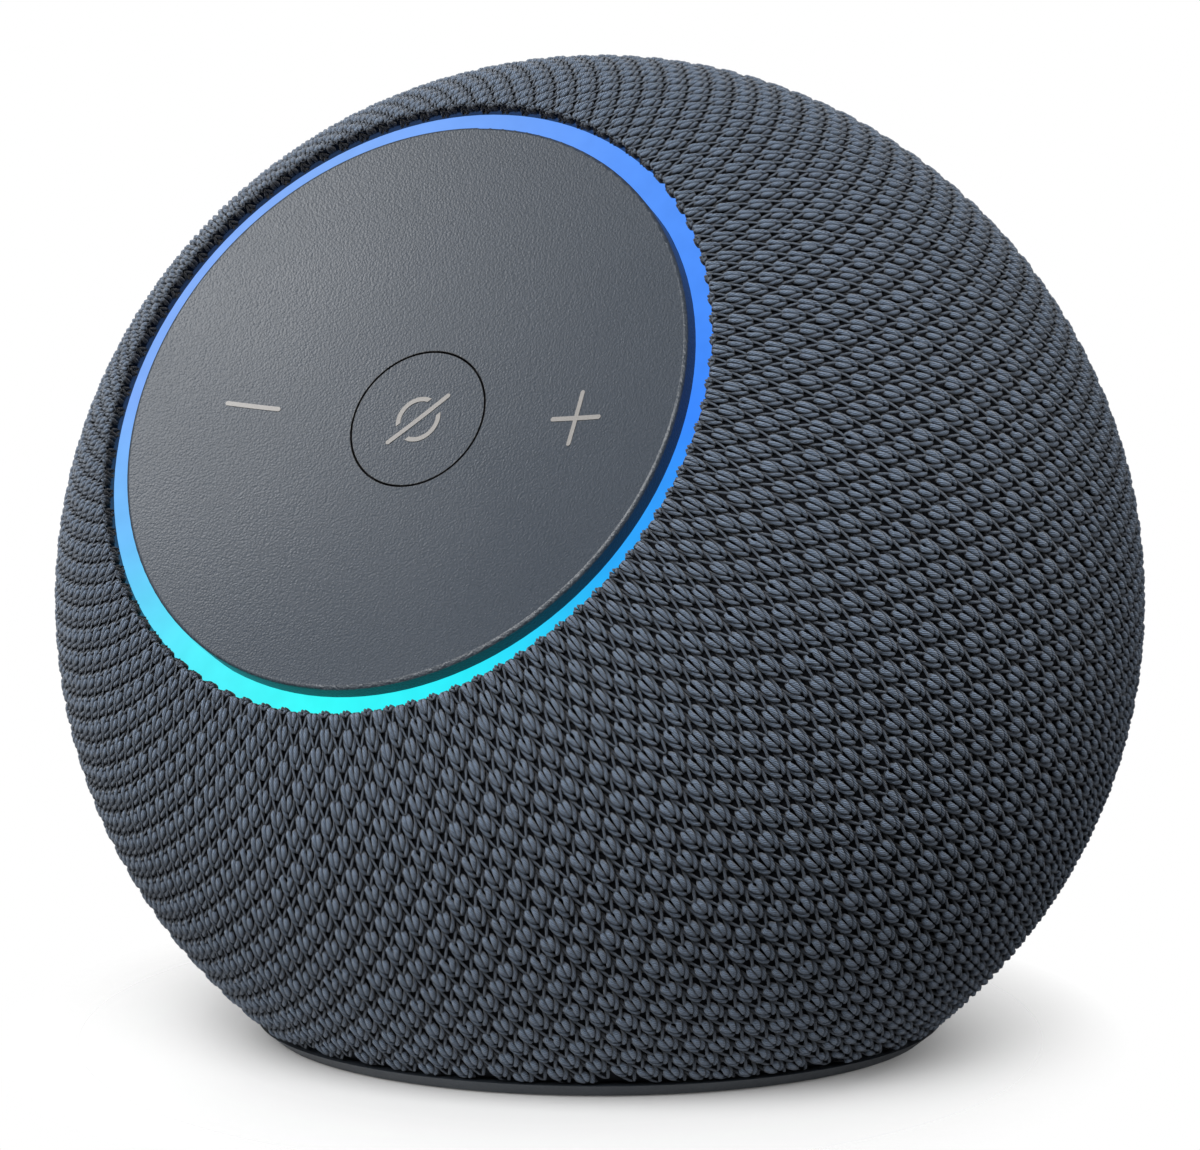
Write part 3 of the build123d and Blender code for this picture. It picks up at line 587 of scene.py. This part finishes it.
def knit_ground():
    """The backing cloth under the stitches: a zone of the ball, cut level at the foot."""
    around, along = 360, 130
    phi = np.arange(around) * 2 * math.pi / around
    theta = np.linspace(LIP_THETA, END_THETA, along)
    grid_phi, grid_theta = np.meshgrid(phi, theta)
    points = on_knit(grid_phi, grid_theta, np.zeros(grid_phi.shape)).reshape(-1, 3)
    index = np.arange(around * along).reshape(along, around)
    right = np.roll(index, -1, axis=1)
    quads = np.stack([index[:-1], index[1:], right[1:], right[:-1]], axis=-1).reshape(-1, 4)
    mesh = bpy.data.meshes.new("knit_backing")
    mesh.from_pydata(points.tolist(), [], quads.tolist())
    shaped = bmesh.new()
    shaped.from_mesh(mesh)
    everything = shaped.verts[:] + shaped.edges[:] + shaped.faces[:]
    bmesh.ops.bisect_plane(
        shaped, geom=everything, plane_co=(0, 0, FOOT_Z), plane_no=(0, 0, -1), clear_outer=True
    )
    bmesh.ops.recalc_face_normals(shaped, faces=shaped.faces[:])
    shaped.to_mesh(mesh)
    shaped.free()
    mesh.polygons.foreach_set("use_smooth", [True] * len(mesh.polygons))
    cloth = add_object("knit_backing", mesh)
    thicken = cloth.modifiers.new("thickness", "SOLIDIFY")
    thicken.thickness = CLOTH_THICK
    thicken.offset = -1
    return cloth


def knit():
    """The backing cloth and the stitches, which together replace the CAD cover."""
    cloth = knit_ground()
    cloth.data.materials.append(backing_cloth())
    material = yarn()
    pieces = knit_sectors()
    for piece in pieces:
        piece.data.materials.append(material)
    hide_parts("knit_cover")


# --- the room ---
def from_camera(turn, rise):
    """A direction of the row frame, given in degrees to the right of the camera and above level."""
    turn, rise = math.radians(CAMERA_TURN + turn), math.radians(rise)
    level = math.cos(rise)
    return Vector((math.sin(turn) * level, -math.cos(turn) * level, math.sin(rise)))


def camera():
    data = bpy.data.cameras.new("camera")
    data.sensor_width = CAMERA_SENSOR
    data.lens = CAMERA_LENS
    data.shift_y = CAMERA_SHIFT
    data.clip_start = 0.01
    eye = bpy.data.objects.new("camera", data)
    scene.collection.objects.link(eye)
    outward = from_camera(0, CAMERA_RISE)
    eye.location = CENTRE + outward * CAMERA_AWAY
    eye.rotation_euler = outward.to_track_quat("Z", "Y").to_euler()
    scene.camera = eye


NEAR = {"size": 0.25, "distance": 0.25}


def softbox(name, turn, rise, power, size=0.7, distance=1.0):
    """A square area light that faces the ball, placed by its direction from the camera's."""
    data = bpy.data.lights.new(name, "AREA")
    data.shape = "SQUARE"
    data.size = size
    data.energy = power
    lamp = bpy.data.objects.new(name, data)
    lamp.visible_camera = False
    scene.collection.objects.link(lamp)
    outward = from_camera(turn, rise)
    lamp.location = CENTRE + outward * distance
    lamp.rotation_euler = outward.to_track_quat("Z", "Y").to_euler()


def floor():
    """A pale floor that fades into the white background, a little longer towards the camera."""
    mesh = bpy.data.meshes.new("floor")
    shape = bmesh.new()
    bmesh.ops.create_circle(shape, cap_ends=True, segments=96, radius=1)
    shape.to_mesh(mesh)
    shape.free()
    ground = add_object("floor", mesh, body=None)
    ground.scale = (FLOOR_ACROSS, FLOOR_ALONG, 1)
    ground.rotation_euler.z = math.radians(CAMERA_TURN)
    ground.location = from_camera(-90, 0) * FLOOR_SHIFT
    s = Shader("floor")
    place = s.place()
    length = s.vector("LENGTH", place).outputs["Value"]
    specks = s.noise(place, 0.002, 2.0)
    s.set(Base_Color=s.mixed(specks, (0.55, 0.55, 0.55, 1), (0.57, 0.57, 0.57, 1)), Roughness=0.7)
    s.set(Alpha=s.between(length, FLOOR_FADE, 1.0, FLOOR_SOLID, 0), Specular_IOR_Level=0.2)
    mesh.materials.append(s.material)


def white_world():
    """A background that is white to the camera and softer as a light."""
    world = bpy.data.worlds.new("world")
    world.use_nodes = True
    tree = world.node_tree
    seen = tree.nodes.new("ShaderNodeBackground")
    seen.inputs["Color"].default_value = (1, 1, 1, 1)
    lit = tree.nodes["Background"]
    lit.inputs["Color"].default_value = (0.95, 0.97, 1, 1)
    lit.inputs["Strength"].default_value = 0.03
    path = tree.nodes.new("ShaderNodeLightPath")
    choice = tree.nodes.new("ShaderNodeMixShader")
    tree.links.new(path.outputs["Is Camera Ray"], choice.inputs[0])
    tree.links.new(lit.outputs[0], choice.inputs[1])
    tree.links.new(seen.outputs[0], choice.inputs[2])
    tree.links.new(choice.outputs[0], tree.nodes["World Output"].inputs[0])
    scene.world = world
    scene.view_settings.view_transform = "Standard"


remove_defaults()
paint_cad_nodes()
knit()
camera()
floor()
white_world()
softbox("key", -20, 42, 18)
softbox("rear_left", -150, 10, 7)
softbox("rear_right", 175, 12, 5)
softbox("near_key", -20, 45, 0.25, **NEAR)
softbox("near_left", -45, 16, 0.34, **NEAR)
softbox("near_right", 82, 6, 0.34, **NEAR)
